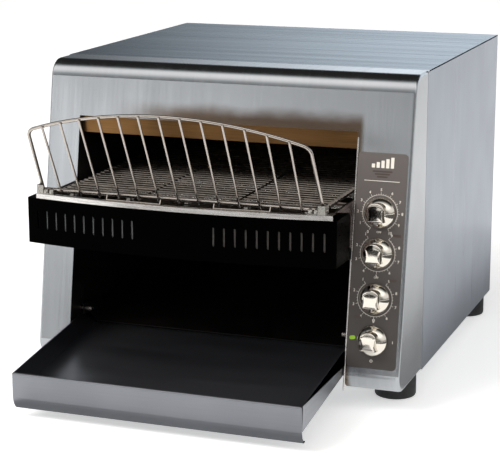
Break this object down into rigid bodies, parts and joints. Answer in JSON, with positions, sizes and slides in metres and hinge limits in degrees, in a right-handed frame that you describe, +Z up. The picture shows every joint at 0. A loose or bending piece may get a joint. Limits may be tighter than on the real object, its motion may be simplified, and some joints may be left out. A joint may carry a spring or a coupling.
{
  "type": "conveyor toaster",
  "caption": "Countertop conveyor toaster: sloping steel front, wire loading rack over a mesh belt, black nose cover, column of knobs and a sloping toast tray.",
  "frame": {"origin": "on the counter under the middle of the whole footprint, from the toast tray's front to the cord gland's end", "axes": "+X to the operator's right as they face the machine, +Y from the front to the back, +Z up"},
  "size_m": [0.508, 0.723, 0.43],
  "materials": {
    "cabinet_steel": "stainless sheet, vertical grain",
    "top_steel": "stainless sheet, grain across",
    "galvanised": "galvanised sheet",
    "dark_steel": "heat-darkened sheet",
    "hood_steel": "heat-tinted stainless",
    "reflector_steel": "aluminised sheet",
    "quartz": "clear quartz tube with a coil",
    "ceramic": "steatite ceramic",
    "rail_steel": "stainless, darkened",
    "belt_wire": "stainless wire",
    "ground_steel": "ground bar",
    "wheel_steel": "oiled steel",
    "bronze": "sintered bronze",
    "gearbox_metal": "die-cast",
    "motor_iron": "laminated iron",
    "black_enamel": "gloss black",
    "bright_strip": "bright stainless",
    "bracket_steel": "bright stainless",
    "rack_chrome": "bright wire",
    "fittings": "zinc plated",
    "tray_steel": "stainless sheet",
    "overlay_print": "printed film",
    "knob_chrome": "bright plated",
    "phenolic": "moulded",
    "fan_plastic": "moulded",
    "guard_wire": "plated wire",
    "gland_nylon": "nylon",
    "foot_rubber": "matt"
  },
  "bodies": {
    "cabinet": {"front_bezel": "cabinet_steel", "left_side_panel": "cabinet_steel", "right_side_panel": "cabinet_steel", "top_cover": "top_steel", "base_pan": "galvanised", "rear_panel": "galvanised", "left_inner_wall": "dark_steel", "right_inner_wall": "dark_steel", "toast_chute": "dark_steel", "inner_hood": "hood_steel", "top_reflector": "reflector_steel", "bottom_reflector": "reflector_steel", "top_heaters": "quartz", "bottom_heaters": "quartz", "heater_end_caps": "ceramic", "left_conveyor_rail": "rail_steel", "right_conveyor_rail": "rail_steel", "belt_support_bars": "rail_steel", "belt_cross_rods": "rail_steel", "conveyor_belt": "belt_wire", "chute_support_pins": "ground_steel", "drive_chain": "wheel_steel", "shaft_bearings": "bronze", "gearbox": "gearbox_metal", "motor": "motor_iron", "front_cover": "black_enamel", "nose_frame": "bright_strip", "left_nose_bracket": "bracket_steel", "right_nose_bracket": "bracket_steel", "strip_wires": "rack_chrome", "rack_brackets": "fittings", "rack_cap_nuts": "fittings", "rear_panel_screws": "fittings", "foot_bolts": "fittings", "control_overlay": "overlay_print", "speed_control": "phenolic", "top_heat_control": "phenolic", "bottom_heat_control": "phenolic", "power_switch": "phenolic", "contactor": "phenolic", "terminal_block": "phenolic", "fan_frame": "fan_plastic", "fan_guard": "guard_wire", "cord_gland": "gland_nylon", "rubber_feet": "foot_rubber"},
    "speed_knob_body": {"speed_knob": "knob_chrome"},
    "top_heat_knob_body": {"top_heat_knob": "knob_chrome"},
    "bottom_heat_knob_body": {"bottom_heat_knob": "knob_chrome"},
    "power_knob_body": {"power_knob": "knob_chrome"},
    "rack_body": {"loading_rack": "rack_chrome"},
    "toast_tray_body": {"toast_tray": "tray_steel"},
    "crumb_tray_body": {"crumb_tray": "tray_steel"},
    "drive_line": {"drive_shaft": "ground_steel", "drive_wheels": "wheel_steel", "chain_sprocket": "wheel_steel"},
    "idler_line": {"idler_shaft": "ground_steel", "idler_wheels": "wheel_steel"},
    "motor_output": {"motor_sprocket": "wheel_steel"},
    "fan_body": {"fan_rotor": "fan_plastic"}
  },
  "joints": [
    {"name": "speed_knob_turn", "type": "hinge", "parent": "cabinet", "child": "speed_knob_body", "pos_m": [0.2165, -0.16138, 0.259], "axis": [0, -0.9862, 0.1654], "range_deg": [-150, 150]},
    {"name": "top_heat_knob_turn", "type": "hinge", "parent": "cabinet", "child": "top_heat_knob_body", "pos_m": [0.2165, -0.16993, 0.208], "axis": [0, -0.9862, 0.1654], "range_deg": [0, 325]},
    {"name": "bottom_heat_knob_turn", "type": "hinge", "parent": "cabinet", "child": "bottom_heat_knob_body", "pos_m": [0.2165, -0.17949, 0.151], "axis": [0, -0.9862, 0.1654], "range_deg": [0, 325]},
    {"name": "power_knob_turn", "type": "hinge", "parent": "cabinet", "child": "power_knob_body", "pos_m": [0.2165, -0.18838, 0.098], "axis": [0, -0.9862, 0.1654], "continuous": true},
    {"name": "rack_fold", "type": "hinge", "parent": "cabinet", "child": "rack_body", "pos_m": [-0.01325, -0.2685, 0.2815], "axis": [-1, 0, 0], "range_deg": [0, 105]},
    {"name": "toast_tray_slide", "type": "slide", "parent": "cabinet", "child": "toast_tray_body", "axis": [0, -0.9994, 0.0349], "range_m": [0, 0.15]},
    {"name": "crumb_tray_slide", "type": "slide", "parent": "cabinet", "child": "crumb_tray_body", "axis": [0, -1, 0], "range_m": [0, 0.3]},
    {"name": "drive_shaft_turn", "type": "hinge", "parent": "cabinet", "child": "drive_line", "pos_m": [-0.01325, 0.2315, 0.249], "axis": [-1, 0, 0], "continuous": true},
    {"name": "idler_shaft_turn", "type": "hinge", "parent": "cabinet", "child": "idler_line", "pos_m": [-0.01325, -0.2435, 0.249], "axis": [-1, 0, 0], "continuous": true},
    {"name": "motor_output_turn", "type": "hinge", "parent": "cabinet", "child": "motor_output", "pos_m": [0.1905, 0.2315, 0.13], "axis": [-1, 0, 0], "continuous": true},
    {"name": "fan_spin", "type": "hinge", "parent": "cabinet", "child": "fan_body", "pos_m": [-0.01325, 0.334, 0.092], "axis": [0, 1, 0], "continuous": true}
  ],
  "couplings": [
    {"joint": "idler_shaft_turn", "follows": "drive_shaft_turn", "ratio": 1},
    {"joint": "motor_output_turn", "follows": "drive_shaft_turn", "ratio": 2.5}
  ]
}
